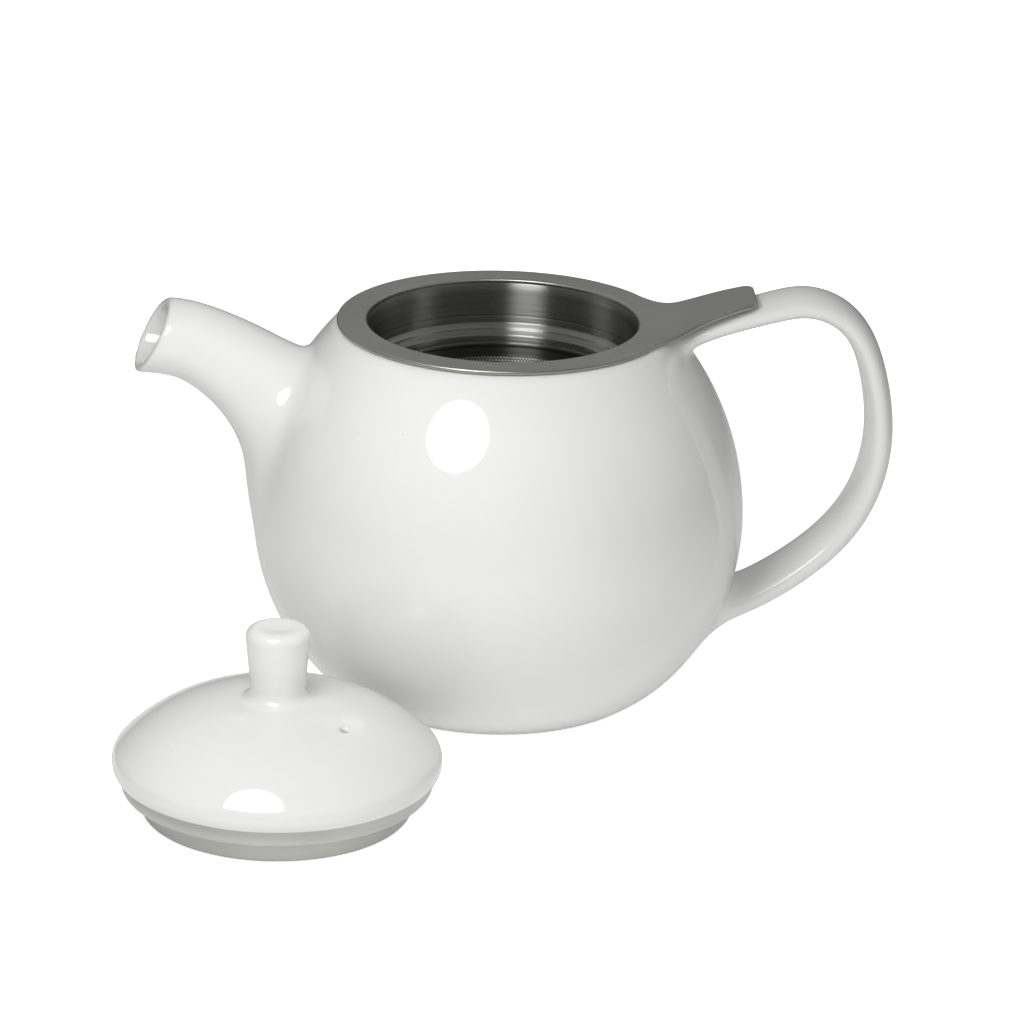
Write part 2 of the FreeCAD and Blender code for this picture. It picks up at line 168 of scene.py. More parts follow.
def pot_outside(r, z):
    """Distance outside the body as if it were solid: belly, bevelled foot, recess under it and rim."""
    bevel = (r - FOOT_R) * FOOT_SLOPE[0] + z * FOOT_SLOPE[1]
    solid = smooth_max(belly(r, z, 0.0), bevel, FOOT_ROUND)
    solid = smooth_max(solid, -z, EDGE_ROUND)
    solid = smooth_max(solid, z - RIM_Z, RIM_ROUND)
    recess = smooth_max(r - RECESS_R, z - RECESS_Z, RECESS_ROUND)
    return smooth_max(solid, -recess, EDGE_ROUND)


def pot_space(r, z):
    """The space inside the pot, open at the mouth."""
    hollow = smooth_max(belly(r, z, WALL), FLOOR_Z - z, FLOOR_ROUND)
    hollow = smooth_max(hollow, z - SHOULDER_Z, SHOULDER_ROUND)
    neck = np.maximum(r - MOUTH_R, NECK_FROM - z)
    return smooth_min(hollow, neck, NECK_ROUND)


def oval(u, v, a, b, power=2.0):
    """Distance outside an oval of half lengths a and b. The power 2 makes an ellipse."""
    u, v = np.abs(u) / a + 1e-9, np.abs(v) / b + 1e-9
    size = (u**power + v**power) ** (1.0 / power)
    slope = np.hypot(u ** (power - 1) / a, v ** (power - 1) / b) / size ** (power - 1)
    return (size - 1.0) / slope


def fine_steps(end):
    """Places from the first station to end, evenly spread."""
    return np.linspace(0.0, end, round(end * STEPS_PER_STATION) + 1)


SPOUT_STEPS = fine_steps(SPOUT_END + SPOUT_OVERRUN)
SPOUT_TABLE = spout_at(SPOUT_STEPS)


def spout_fields(points):
    """Distance outside the spout, and outside its bore, for each point.

    The place of a point along the spout is the station line that it lies on. Near the mouth the spout is
    sheared, so that the mouth faces a little towards -Y.
    """
    x, y, z = -points[:, 0], points[:, 1], points[:, 2]
    k = np.clip((x - TURN_FROM) / (TURN_TO - TURN_FROM), 0.0, 1.0)
    x = x - y * MOUTH_TURN * k * k * (3.0 - 2.0 * k)
    ux, uz, lx, lz = SPOUT_TABLE[:, :4].T
    side = (lx - ux) * (z[:, None] - uz) - (lz - uz) * (x[:, None] - ux)
    side /= np.hypot(lx - ux, lz - uz)
    passed = (side > 0).cumprod(axis=1).sum(axis=1)
    i = np.clip(passed - 1, 0, len(SPOUT_STEPS) - 2)
    rows = np.arange(len(points))
    before, after = side[rows, i], side[rows, i + 1]
    share = np.clip(before / (before - after + 1e-9), 0.0, 1.0)
    t = SPOUT_STEPS[i] + share * (SPOUT_STEPS[1] - SPOUT_STEPS[0])
    ux, uz, lx, lz, half_width = spout_at(t).T
    tall = np.hypot(ux - lx, uz - lz) / 2
    along = ((x - (ux + lx) / 2) * (ux - lx) + (z - (uz + lz) / 2) * (uz - lz)) / (2 * tall)
    wall = ROOT_WALL + (LIP_WALL - ROOT_WALL) * np.minimum(t / SPOUT_END, 1.0)
    outer = oval(along, y, tall, half_width)
    bore = oval(along, y, tall - wall, half_width - wall)
    upper_x, upper_z, lower_x, lower_z, _ = SPOUT[-1]
    across = np.array([lower_x - upper_x, lower_z - upper_z])
    across /= np.hypot(*across)
    past_mouth = across[0] * (z - upper_z) - across[1] * (x - upper_x)
    outer = smooth_max(outer, past_mouth, MOUTH_ROUND)
    return np.maximum(outer, -side[:, 0]), np.maximum(bore, -side[:, 0])


HANDLE_STEPS = fine_steps(HANDLE_END)
HANDLE_TABLE = handle_at(HANDLE_STEPS)


def from_handle(t, x, z, step=1e-3):
    """Each point's offset from the handle's middle line at t, and the line's rate of travel there."""
    tangent = (handle_at(t + step) - handle_at(t - step)) / (2 * step)
    return np.stack([x, z], axis=1) - handle_at(t), tangent


def handle_field(points):
    """Distance outside the handle strap for each point."""
    x, y, z = points[:, 0], points[:, 1], points[:, 2]
    gap = (x[:, None] - HANDLE_TABLE[:, 0]) ** 2 + (z[:, None] - HANDLE_TABLE[:, 1]) ** 2
    t = HANDLE_STEPS[gap.argmin(axis=1)]
    for _ in range(4):
        offset, tangent = from_handle(t, x, z)
        t = np.clip(t + (offset * tangent).sum(1) / (tangent**2).sum(1), 0.0, HANDLE_END)
    offset, tangent = from_handle(t, x, z)
    tangent /= np.hypot(*tangent.T)[:, None]
    out = offset[:, 0] * tangent[:, 1] - offset[:, 1] * tangent[:, 0]
    k = t / HANDLE_END
    width = STRAP_WIDTH[0] + (STRAP_WIDTH[1] - STRAP_WIDTH[0]) * k
    thick = STRAP_THICK[0] + (STRAP_THICK[1] - STRAP_THICK[0]) * k
    strap = oval(out, y, thick / 2, width / 2, STRAP_SQUARE)
    ended = (t <= 0.0) | (t >= HANDLE_END)
    past_end = np.where(ended, np.abs((offset * tangent).sum(1)), -FAR)
    return np.maximum(strap, past_end)


def pot_field(points):
    """Distance outside the whole glazed pot: body, spout and handle run into each other.

    The spout and the handle are worked out only for points in a box round each.
    """
    x, y, z = points.T
    r = np.hypot(x, y)
    solid = pot_outside(r, z)
    bore = np.full(len(points), FAR)
    near = (x < -SPOUT_FROM) & (np.abs(y) < SPOUT_DEEP) & (z > SPOUT_LOW)
    if near.any():
        outer, inner = in_blocks(lambda p: np.stack(spout_fields(p), axis=1), points[near]).T
        fillet = np.interp(z[near], *SPOUT_FILLET)
        solid[near] = smooth_min(solid[near], outer, fillet)
        bore[near] = inner
    near = (x > HANDLE_FROM) & (np.abs(y) < HANDLE_DEEP)
    if near.any():
        strap = in_blocks(handle_field, points[near])
        fillet = np.interp(z[near], *HANDLE_FILLET)
        solid[near] = smooth_min(solid[near], strap, fillet)
    above_seat = z - RIM_Z - np.maximum(r - SEAT_R, 0.0)
    solid = smooth_max(solid, above_seat, SEAT_ROUND)
    hollow = smooth_min(pot_space(r, z), bore, BORE_FILLET)
    return smooth_max(solid, -hollow, HOLLOW_ROUND)


# ---------------------------------------------------------------- surface of a field

def surface_net(values, xs, ys, zs):
    """Points and quads of the zero surface.

    There is a point in each cell that the surface crosses, and a quad round each grid edge that it crosses.
    """
    inside = values < 0
    cells = tuple(n - 1 for n in values.shape)
    total = np.zeros(cells + (3,))
    count = np.zeros(cells)
    grid = np.stack(np.meshgrid(xs, ys, zs, indexing="ij"), axis=-1)
    crossed = []
    for axis in range(3):
        low = tuple(slice(0, -1) if a == axis else slice(None) for a in range(3))
        high = tuple(slice(1, None) if a == axis else slice(None) for a in range(3))
        hit = inside[low] != inside[high]
        a, b = values[low], values[high]
        share = np.where(hit, a / np.where(hit, a - b, 1.0), 0.0)[..., None]
        spot = (grid[low] * (1 - share) + grid[high] * share) * hit[..., None]
        others = [o for o in range(3) if o != axis]
        for du in (0, 1):
            for dv in (0, 1):
                pick = [slice(None)] * 3
                pick[others[0]] = slice(du, du + cells[others[0]])
                pick[others[1]] = slice(dv, dv + cells[others[1]])
                total += spot[tuple(pick)]
                count += hit[tuple(pick)]
        crossed.append(hit)
    used = count > 0
    number = np.full(cells, -1)
    number[used] = np.arange(used.sum())
    quads = []
    for axis, hit in enumerate(crossed):
        u, v = (axis + 1) % 3, (axis + 2) % 3
        at = np.argwhere(hit)
        leaving = inside[tuple(at.T)]
        corners = []
        for du, dv in ((-1, -1), (0, -1), (0, 0), (-1, 0)):
            cell = at.copy()
            cell[:, u] += du
            cell[:, v] += dv
            corners.append(number[tuple(cell.T)])
        quad = np.stack(corners, axis=1)
        quad[~leaving] = quad[~leaving][:, ::-1]
        quads.append(quad)
    return total[used] / count[used][:, None], np.concatenate(quads)


def gradient(field, points, step=0.02):
    """The field's slope at each point."""
    slopes = []
    for axis in range(3):
        shift = np.zeros(3)
        shift[axis] = step
        slopes.append((field(points + shift) - field(points - shift)) / (2 * step))
    return np.stack(slopes, axis=1)


def settle(field, points, rounds=2, furthest=1.5, flattest=0.05):
    """Points moved onto the field's zero surface, and the surface's normals there."""
    for _ in range(rounds):
        slope = gradient(field, points)
        size = np.maximum((slope**2).sum(1), flattest)
        points = points - slope * np.clip(field(points) / size, -furthest, furthest)[:, None]
    slope = gradient(field, points)
    return points, slope / np.linalg.norm(slope, axis=1)[:, None]


def relax(points, normals, quads, share=0.6):
    """Points moved along the surface, by a share of the way to the middle of their neighbours."""
    total = np.zeros_like(points)
    count = np.zeros(len(points))
    for i in range(4):
        a, b = quads[:, i], quads[:, (i + 1) % 4]
        np.add.at(total, a, points[b])
        np.add.at(total, b, points[a])
        np.add.at(count, a, 1)
        np.add.at(count, b, 1)
    move = total / count[:, None] - points
    move -= normals * (move * normals).sum(1)[:, None]
    return points + share * move


def grid_lines(start, *runs):
    """Places of the grid's lines along one axis, in runs of (end, spacing)."""
    lines = [start]
    for end, spacing in runs:
        n = max(1, round((end - lines[-1]) / spacing))
        lines.extend(np.linspace(lines[-1], end, n + 1)[1:])
    return np.array(lines)


# ---------------------------------------------------------------- meshes

def mesh_object(name, points, faces, normals=None):
    """A smooth-shaded object from points in millimetres, with its exact normals where they are known."""
    mesh = bpy.data.meshes.new(name)
    mesh.from_pydata((np.asarray(points) * MM).tolist(), [], [list(map(int, f)) for f in faces])
    mesh.validate()
    mesh.shade_smooth()
    if normals is not None:
        mesh.normals_split_custom_set_from_vertices(np.asarray(normals).tolist())
    obj = bpy.data.objects.new(name, mesh)
    bpy.context.scene.collection.objects.link(obj)
    return obj


def arc(centre, radius, start, end, count):
    """Points on an arc from angle start to end, in degrees from +R towards +Z."""
    angles = np.radians(np.linspace(start, end, count))
    return [(centre[0] + radius * math.cos(a), centre[1] + radius * math.sin(a)) for a in angles]


# An outline's corner is left as it is where it turns by less than this. Roundings turn by this much a step.
NEARLY_STRAIGHT = math.radians(2)
ROUNDING_STEP = math.radians(12)


def rounded(corners, closed=True):
    """An outline through corners (r, z, rounding), each rounding drawn as a short arc."""
    n = len(corners)
    points = []
    for i, (r, z, *rounding) in enumerate(corners):
        if not rounding or (not closed and i in (0, n - 1)):
            points.append((r, z))
            continue
        here = np.array((r, z))
        before = np.array(corners[i - 1][:2]) - here
        after = np.array(corners[(i + 1) % n][:2]) - here
        before /= np.hypot(*before)
        after /= np.hypot(*after)
        half = math.acos(np.clip(before @ after, -1, 1)) / 2
        if math.pi - 2 * half < NEARLY_STRAIGHT:
            points.append((r, z))
            continue
        reach = rounding[0] / math.tan(half)
        middle = (before + after) / np.hypot(*(before + after))
        centre = here + middle * rounding[0] / math.sin(half)
        first = here + before * reach - centre
        last = here + after * reach - centre
        turn = math.atan2(first[0] * last[1] - first[1] * last[0], first @ last)
        count = max(4, math.ceil(abs(turn) / ROUNDING_STEP))
        for k in range(count + 1):
            a = turn * k / count
            points.append(tuple(centre + (
                first[0] * math.cos(a) - first[1] * math.sin(a),
                first[0] * math.sin(a) + first[1] * math.cos(a),
            )))
    return points


def refined(outline, longest, closed=True):
    """The outline with its long runs divided."""
    points = []
    count = len(outline) if closed else len(outline) - 1
    for i in range(count):
        a, b = np.array(outline[i]), np.array(outline[(i + 1) % len(outline)])
        n = max(1, math.ceil(np.hypot(*(b - a)) / longest))
        points.extend(tuple(a + (b - a) * k / n) for k in range(n))
    if not closed:
        points.append(tuple(outline[-1]))
    return points


def outline_normals(outline, closed=True):
    """Outward normals of an outline that runs with its solid on the left."""
    points = np.array(outline)
    ahead = np.roll(points, -1, axis=0) - points
    if not closed:
        ahead[-1] = ahead[-2]
    behind = np.roll(ahead, 1, axis=0)
    if not closed:
        behind[0] = ahead[0]
    along = ahead + behind
    normal = np.stack([along[:, 1], -along[:, 0]], axis=1)
    return normal / np.maximum(np.hypot(*normal.T), 1e-9)[:, None]


def lathe(name, outline, segments, closed=True, centre=(0.0, 0.0, 0.0)):
    """The outline turned about the vertical axis. An open outline starts and ends on the axis."""
    normals = outline_normals(outline, closed)
    points, vectors, rows = [], [], []
    for (r, z), (nr, nz) in zip(outline, normals):
        if r < 1e-6:
            rows.append([len(points)] * segments)
            points.append((0.0, 0.0, z))
            vectors.append((0.0, 0.0, math.copysign(1.0, nz)))
            continue
        rows.append(list(range(len(points), len(points) + segments)))
        for s in range(segments):
            a = 2 * math.pi * s / segments
            points.append((r * math.cos(a), r * math.sin(a), z))
            vectors.append((nr * math.cos(a), nr * math.sin(a), nz))
    faces = []
    for i in range(len(rows) if closed else len(rows) - 1):
        low, high = rows[i], rows[(i + 1) % len(rows)]
        for s in range(segments):
            e = (s + 1) % segments
            face = list(dict.fromkeys((low[s], low[e], high[e], high[s])))
            if len(face) > 2:
                faces.append(face)
    return mesh_object(name, np.array(points) + centre, faces, vectors)


def make_pot():
    """The glazed pot: one skin over body, spout and handle, with soft fillets between them."""
    xs, ys, zs = grid_lines(*GRID_X), grid_lines(*GRID_Y), grid_lines(*GRID_Z)
    spots = np.stack(np.meshgrid(xs, ys, zs, indexing="ij"), axis=-1).reshape(-1, 3)
    values = pot_field(spots).reshape(len(xs), len(ys), len(zs))
    points, quads = surface_net(values, xs, ys, zs)
    points, normals = settle(pot_field, points)
    for _ in range(3):
        points, normals = settle(pot_field, relax(points, normals, quads), 1)
    points, normals = settle(pot_field, points)
    return mesh_object("glazed_pot", points, quads, normals)


# ---------------------------------------------------------------- lid

# Where the lid stands, and its outline as radii and heights. The dome and the brim are arcs round the
# centres given, which meet at JOIN degrees. The brim's arc starts at UNDER degrees, and the dome's ends at
# DOME_END. Inside, the dome ends at HOLLOW_END.
LID = (-55.9, -82.1, 0.0)
LID_BORE_R = 28.2
LID_COLLAR_R = 32.7
LID_SEAT = (37.65, 6.0)
LID_SEAT_TOP = 10.3
BRIM = (35.4, 12.9)
BRIM_ROUND = 4.4
UNDER, JOIN = -32.0, 44.3
DOME = (8.85, -13.01)
DOME_ARC = 41.5
DOME_END = 88.5
HOLLOW_END = 60.5
LID_WALL = 4.2
KNOB_NECK_R = 6.32
KNOB_R = 8.0
KNOB_TOP = 46.68
KNOB_DISH = 0.35
KNOB_DISH_R = 4.9
LID_SIDES = 216

# The vent's distance and direction from the lid's middle, its bore, and the flare at its mouth.
VENT_REACH = 21.6
VENT_ANGLE = math.radians(-42.8)
VENT_R = 0.75
VENT_DEPTH = 9.0
FLARE_DEPTH = 0.85
FLARE_WIDTH = 1.3
VENT_SIDES = 32


def lid_outline():
    """From the middle of the underside down the collar, out under the brim, up the dome and the knob."""
    inside = arc(DOME, DOME_ARC - LID_WALL, 90.0, HOLLOW_END, 26)
    brim = arc(BRIM, BRIM_ROUND, UNDER, JOIN, 18)
    collar = rounded([
        inside[-1],
        (LID_BORE_R, inside[-1][1] - 0.6, 0.6),
        (LID_BORE_R, 0.0, 0.9),
        (LID_COLLAR_R, 0.0, 1.0),
        (LID_COLLAR_R, LID_SEAT[1], 0.6),
        (*LID_SEAT, 1.35),
        (LID_SEAT[0], LID_SEAT_TOP, 0.6),
        brim[0],
    ], closed=False)
    dome = arc(DOME, DOME_ARC, JOIN, DOME_END, 70)
    knob = rounded([
        dome[-1],
        (KNOB_NECK_R, DOME[1] + DOME_ARC, 2.9),
        (KNOB_R, KNOB_TOP + 0.05, 2.3),
        (KNOB_DISH_R, KNOB_TOP - 0.03),
    ], closed=False)
    dish_arc = KNOB_DISH_R**2 / (2 * KNOB_DISH)
    dish = arc((0.0, KNOB_TOP - KNOB_DISH + dish_arc), dish_arc, -82.5, -90.0, 8)
    dish[-1] = (0.0, dish[-1][1])
    shape = [(0.0, inside[0][1])] + inside + collar[1:-1] + brim + dome[1:] + knob[1:-1] + dish
    return refined(shape, 0.9, closed=False)


def vent_cutter():
    """A round tool with a trumpet end, standing square on the dome where the vent is."""
    profile = [(0.0, -VENT_DEPTH), (VENT_R, -VENT_DEPTH), (VENT_R, -FLARE_DEPTH)]
    for a in np.radians((15, 30, 45, 60, 75)):
        profile.append((VENT_R + FLARE_WIDTH * (1 - math.cos(a)), FLARE_DEPTH * (math.sin(a) - 1)))
    end_r, end_z = 2 * FLARE_WIDTH, 0.7
    profile += [(end_r, end_z), (0.0, end_z)]
    tool = lathe("vent_tool", profile, VENT_SIDES, closed=False)
    slope = math.acos((VENT_REACH - DOME[0]) / DOME_ARC)
    spot = Vector((VENT_REACH, 0.0, DOME[1] + DOME_ARC * math.sin(slope))) * MM
    lean = Matrix.Rotation(math.pi / 2 - slope, 4, "Y")
    turn = Matrix.Rotation(VENT_ANGLE, 4, "Z")
    tool.data.transform(Matrix.Translation(Vector(LID) * MM) @ turn @ Matrix.Translation(spot) @ lean)
    return tool


def keep_normals(mesh, before, vectors):
    """Give the mesh the exact normals of the points that it kept, and its own at the new ones."""
    known = {tuple(np.round(p, 3)): v for p, v in zip(before, vectors)}
    normals = []
    for vertex in mesh.vertices:
        key = tuple(np.round(np.array(vertex.co) / MM, 3))
        normals.append(tuple(known.get(key, vertex.normal)))
    mesh.normals_split_custom_set_from_vertices(normals)


def make_lid():
    """Dome, brim, collar and knob in one glazed piece, with the vent cut through."""
    lid = lathe("glazed_lid", lid_outline(), LID_SIDES, closed=False, centre=LID)
    points = np.array([v.co for v in lid.data.vertices]) / MM
    vectors = [tuple(v.vector) for v in lid.data.vertex_normals]
    tool = vent_cutter()
    cut = lid.modifiers.new("vent", "BOOLEAN")
    cut.object = tool
    cut.solver = "EXACT"
    graph = bpy.context.evaluated_depsgraph_get()
    mesh = bpy.data.meshes.new_from_object(lid.evaluated_get(graph))
    lid.modifiers.clear()
    lid.data = mesh
    bpy.data.objects.remove(tool)
    mesh.shade_smooth()
    keep_normals(mesh, points, vectors)
    return lid


# ---------------------------------------------------------------- infuser

# Flange: a plate with a round opening. The tab bends up by TAB_RISE on a radius of TAB_BEND, then crowns
# back on a radius of TAB_CROWN. Each of its sides is a hollow arc, with its centre (x, y) and radius in
# TAB_HOLLOW, from an angle in degrees.
FLANGE_TOP = 97.9
PLATE = 1.2
FLANGE_R = 41.9
LIP_R = 34.3
LIP_ROUND = 0.75
TAB_START = 39.2
TAB_BEND = 16.0
TAB_RISE = math.radians(24.0)
TAB_CROWN = 95.0
TAB_END = 63.6
TAB_HOLLOW = (56.39, 33.59, 23.8)
TAB_HOLLOW_FROM = -100.6

# Collar: its wall's outer radius, its neck's bore and its lower end. Screen: its tube's outer and inner
# radii, its ends and the bead near its top. Base: its radius, and the heights of its underside and floor.
COLLAR_R = 35.0
COLLAR_NECK_R = 31.85
COLLAR_FOOT = 78.6
SCREEN = (31.75, 31.3)
SCREEN_TOP = 82.0
SCREEN_FOOT = 19.0
BEAD_Z = 81.2
BEAD_ROUND = 0.8
BASE_R = 32.4
BASE_Z = (18.4, 20.0)
STEEL_SIDES = 240
BASE_SIDES = 200


def tab_height(x):
    """Height and slope of the plate's top at x: flat, a bend up, then a long crown back towards level."""
    bend_x = TAB_START + TAB_BEND * math.sin(TAB_RISE)
    bend_z = FLANGE_TOP + TAB_BEND * (1 - math.cos(TAB_RISE))
    crown_x = bend_x + TAB_CROWN * math.sin(TAB_RISE)
    crown_z = bend_z - TAB_CROWN * math.cos(TAB_RISE)
    if x < TAB_START:
        return FLANGE_TOP, 0.0
    if x < bend_x:
        rise = math.asin((x - TAB_START) / TAB_BEND)
        return FLANGE_TOP + TAB_BEND * (1 - math.cos(rise)), rise
    rise = math.asin((crown_x - x) / TAB_CROWN)
    return crown_z + TAB_CROWN * math.cos(rise), rise


def flange_plan():
    """The plate's outline from above, round from the tab's tip to the back and again to the tip."""
    hollow_x, hollow_y, hollow_r = TAB_HOLLOW
    join = math.degrees(math.atan2(hollow_y, hollow_x))
    tip = rounded([(TAB_END, 0.0), (TAB_END, 8.15, 3.2), (52.0, 10.2)], closed=False)
    hollow = arc((hollow_x, hollow_y), hollow_r, TAB_HOLLOW_FROM, join - 180.0, 24)
    rim = arc((0.0, 0.0), FLANGE_R, join, 180.0, 120)
    half = refined(tip[:-1] + hollow + rim[1:], 1.0, closed=False)
    return half + [(x, -y) for x, y in half[-2:0:-1]]


def make_flange():
    """Flange and tab in one plate with rounded edges, rolled down inside to meet the collar."""
    plan = flange_plan()
    out = outline_normals(plan)
    half = PLATE / 2
    points, normals, columns = [], [], []
    for (x, y), (nx, ny) in zip(plan, out):
        start = len(points)
        angle = math.atan2(y, x)
        cx, cy = math.cos(angle), math.sin(angle)
        lip = LIP_R + LIP_ROUND
        edge_x, edge_y = x - nx * half, y - ny * half
        for a in np.radians(np.linspace(0.0, 90.0, 7)):
            r = lip - LIP_ROUND * math.cos(a)
            points.append((r * cx, r * cy, FLANGE_TOP - LIP_ROUND + LIP_ROUND * math.sin(a)))
            normals.append((-cx * math.cos(a), -cy * math.cos(a), math.sin(a)))
        across = [(lip * cx + (edge_x - lip * cx) * k, lip * cy + (edge_y - lip * cy) * k)
                  for k in np.linspace(0.0, 1.0, 27)[1:]]
        for px, py in across:
            z, rise = tab_height(px)
            points.append((px, py, z))
            normals.append((-math.sin(rise), 0.0, math.cos(rise)))
        z, rise = tab_height(edge_x)
        up = np.array((-math.sin(rise), 0.0, math.cos(rise)))
        flat = np.array((nx * math.cos(rise), ny, nx * math.sin(rise)))
        middle = np.array((edge_x, edge_y, z)) - up * half
        for a in np.radians(np.linspace(90.0, -90.0, 10)[1:]):
            n = flat * math.cos(a) + up * math.sin(a)
            points.append(tuple(middle + n * half))
            normals.append(tuple(n))
        for px, py in across[-2::-4]:
            z, rise = tab_height(px)
            points.append((px + PLATE * math.sin(rise), py, z - PLATE * math.cos(rise)))
            normals.append((math.sin(rise), 0.0, -math.cos(rise)))
        points.append((LIP_R * cx, LIP_R * cy, FLANGE_TOP - PLATE))
        normals.append((-cx, -cy, 0.0))
        columns.append(range(start, len(points)))
    faces = []
    for i, column in enumerate(columns):
        after = columns[(i + 1) % len(columns)]
        for k in range(len(column)):
            low = (k + 1) % len(column)
            faces.append((column[k], column[low], after[low], after[k]))
    return mesh_object("steel_flange", points, faces, normals)


def make_collar():
    """The deep-drawn ring under the lip, with its rounded shoulder and lower neck."""
    inner = [
        (LIP_R, FLANGE_TOP - PLATE),
        (LIP_R, 88.3, 0.6),
        (LIP_R + 0.05, 87.9, 0.6),
        (LIP_R, 87.5, 0.6),
        (LIP_R, 85.9, 0.7),
        (33.25, 84.9, 0.35),
        (33.1, 84.3, 0.35),
        (COLLAR_NECK_R, 83.3, 0.7),
        (COLLAR_NECK_R, COLLAR_FOOT, 0.2),
    ]
    outer = [
        (32.5, COLLAR_FOOT, 0.2),
        (32.5, 83.1, 0.9),
        (COLLAR_R, 85.3, 0.9),
        (COLLAR_R, FLANGE_TOP - PLATE),
    ]
    return lathe("steel_collar", refined(rounded(inner + outer), 2.5), STEEL_SIDES)


def make_screen():
    """The perforated sleeve, with a bead rolled round its top."""
    outer, inner = SCREEN
    bead = [(inner + 0.05, BEAD_Z - 1.0)] + arc((inner + 0.1, BEAD_Z), BEAD_ROUND, -100.0, -260.0, 12)
    outline = bead + [(outer, SCREEN_TOP), (outer, SCREEN_FOOT), (inner, SCREEN_FOOT)]
    return lathe("steel_screen", refined(outline, 6.0)[::-1], STEEL_SIDES)


def make_base():
    """The base cup that closes the screen, with a spun groove round its floor."""
    low, floor = BASE_Z
    brim = 21.9
    groove = floor - 0.2
    under = [(0.0, 19.4), (25.0, 19.4, 1.0), (26.5, low, 0.8)]
    wall = [(BASE_R, low, 0.6), (BASE_R, brim, 0.15), (31.8, brim, 0.15), (31.8, 19.2, 0.5)]
    inside = [(27.0, 19.05, 0.8), (25.4, floor, 1.0)]
    ring = [(16.0, floor, 0.4), (15.6, groove, 0.4), (14.6, groove, 0.4), (14.2, floor, 0.4)]
    outline = rounded(under + wall + inside + ring + [(0.0, floor)], closed=False)
    return lathe("steel_base", refined(outline, 1.5, closed=False), BASE_SIDES, closed=False)


# ---------------------------------------------------------------- materials

class Nodes:
    """Short ways to add to a node tree. Named sockets are written with _ for each space."""

    def __init__(self, tree):
        self.tree = tree

    def feed(self, socket, value):
        """Link an output to the socket, or set the socket's own value."""
        if isinstance(value, bpy.types.NodeSocket):
            self.tree.links.new(value, socket)
        else:
            socket.default_value = value

    def feed_named(self, node, sockets):
        """Feed a node's sockets by their names."""
        for name, value in sockets.items():
            self.feed(node.inputs[name.replace("_", " ")], value)

    def add(self, kind, *values, operation=None, **sockets):
        """A new node, fed with values for its first sockets, in order, and for its named ones."""
        node = self.tree.nodes.new(kind)
        if operation:
            node.operation = operation
        for socket, value in zip(node.inputs, values):
            self.feed(socket, value)
        self.feed_named(node, sockets)
        return node

    def math(self, operation, *values):
        """The result of a Math node."""
        return self.add("ShaderNodeMath", *values, operation=operation).outputs[0]

    def spread(self, value, low, high, start=0.3, end=0.7):
        """The value from start to end mapped to low and high."""
        node = self.add("ShaderNodeMapRange", value, From_Min=start, From_Max=end, To_Min=low, To_Max=high)
        return node.outputs[0]

    def seen(self):
        """1 where the camera looks straight at the surface, 0 for all other light."""
        return self.add("ShaderNodeLightPath").outputs["Is Camera Ray"]


class Finish(Nodes):
    """A node material round one Principled shader."""

    def __init__(self, name, **settings):
        self.material = bpy.data.materials.new(name)
        self.material.use_nodes = True
        super().__init__(self.material.node_tree)
        self.shader = self.tree.nodes["Principled BSDF"]
        self.place = self.add("ShaderNodeTexCoord").outputs["Object"]
        self.drive(**settings)

    def drive(self, **sockets):
        """Feed the shader's own sockets."""
        self.feed_named(self.shader, sockets)

    def show(self, surface):
        """Use this shader output for the whole material, in place of the Principled one alone."""
        self.feed(self.tree.nodes["Material Output"].inputs["Surface"], surface)

    def scaled(self, scale):
        """Object coordinates stretched by scale."""
        return self.add("ShaderNodeVectorMath", self.place, scale, operation="MULTIPLY").outputs[0]

    def noise(self, scale, detail=2.0, place=None, roughness=0.5):
        """Noise from 0 to 1."""
        place = place or self.place
        node = self.add("ShaderNodeTexNoise", Scale=scale, Detail=detail, Roughness=roughness, Vector=place)
        return node.outputs["Fac"]

    def blend(self, factor, first, second):
        """A mix of two colours, through the colour sockets of a Mix node."""
        node = self.add("ShaderNodeMix", factor)
        node.data_type = "RGBA"
        self.feed(node.inputs[6], first)
        self.feed(node.inputs[7], second)
        return node.outputs[2]

    def bump(self, height, strength, distance, **below):
        """The normal over a height, on top of the Normal below where one is given."""
        node = self.add("ShaderNodeBump", Strength=strength, Distance=distance, Height=height, **below)
        return node.outputs[0]


def glaze():
    """White porcelain under a clear glossy glaze, a touch warmer on its edges, with a few faint specks."""
    finish = Finish("white_glaze", IOR=1.5, Coat_Weight=0.35, Coat_Roughness=0.02, Coat_IOR=1.5)
    cloud = finish.noise(28.0, 3.0)
    body = finish.blend(finish.spread(cloud, 0.0, 1.0), (0.80, 0.80, 0.775, 1), (0.83, 0.832, 0.815, 1))
    edge = finish.add("ShaderNodeNewGeometry").outputs["Pointiness"]
    thin = finish.spread(edge, 0.0, 0.5, 0.53, 0.62)
    body = finish.blend(thin, body, (0.79, 0.765, 0.70, 1))
    cells = finish.add("ShaderNodeTexVoronoi", Scale=260.0, Vector=finish.place)
    speck = finish.math("LESS_THAN", cells.outputs["Distance"], 0.045)
    rare = finish.math("GREATER_THAN", finish.noise(45.0, 1.0), 0.66)
    speck = finish.math("MULTIPLY", finish.math("MULTIPLY", speck, rare), 0.5)
    body = finish.blend(speck, body, (0.45, 0.40, 0.33, 1))
    rough = finish.spread(finish.noise(60.0, 4.0), 0.045, 0.085)
    ripple = finish.bump(finish.noise(95.0, 1.5), 0.05, 0.0004)
    finish.drive(Base_Color=body, Roughness=rough, Normal=ripple)
    return finish.material


